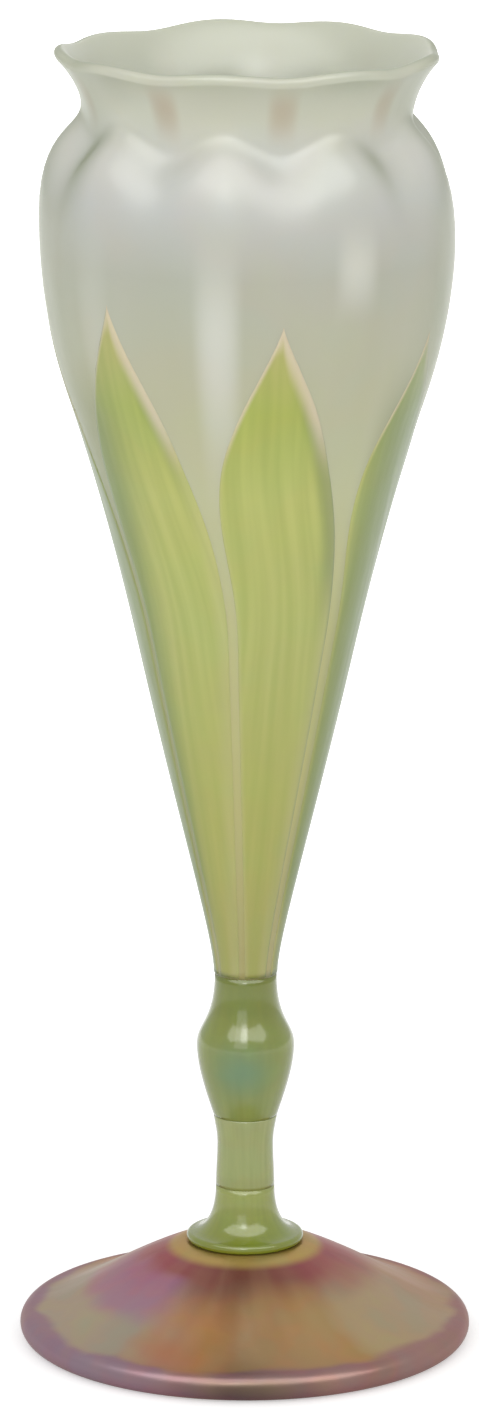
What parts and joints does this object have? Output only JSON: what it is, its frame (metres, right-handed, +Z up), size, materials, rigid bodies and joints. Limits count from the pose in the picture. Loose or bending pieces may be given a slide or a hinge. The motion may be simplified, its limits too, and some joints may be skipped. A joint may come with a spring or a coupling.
{
  "type": "floriform vase",
  "caption": "Floriform glass vase: a tall bud-shaped bowl with a ruffled mouth and pulled leaves, on a knopped stem and a domed foot.",
  "frame": {"origin": "centre of the flat ring that the foot stands on", "axes": "+Z up through the stem to the mouth; -Y is the front seen in the picture"},
  "size_m": [0.1066, 0.1066, 0.3081],
  "materials": {
    "opal_glass": "satin opal glass, grey-green to milky white",
    "leaf_glass": "satin yellow-green glass, streaked lengthwise",
    "olive_glass": "glossy olive-green glass",
    "stem_glass": "glossy pale green glass",
    "lustre_glass": "iridescent amber and rose glass with a blue-violet rim"
  },
  "bodies": {
    "root": {"bowl": "opal_glass", "leaf_1": "leaf_glass", "leaf_2": "leaf_glass", "leaf_3": "leaf_glass", "leaf_4": "leaf_glass", "leaf_5": "leaf_glass", "leaf_6": "leaf_glass", "leaf_7": "leaf_glass", "knop": "olive_glass", "stem": "stem_glass", "foot_pad": "olive_glass", "foot": "lustre_glass", "pontil_button": "lustre_glass"}
  },
  "joints": []
}
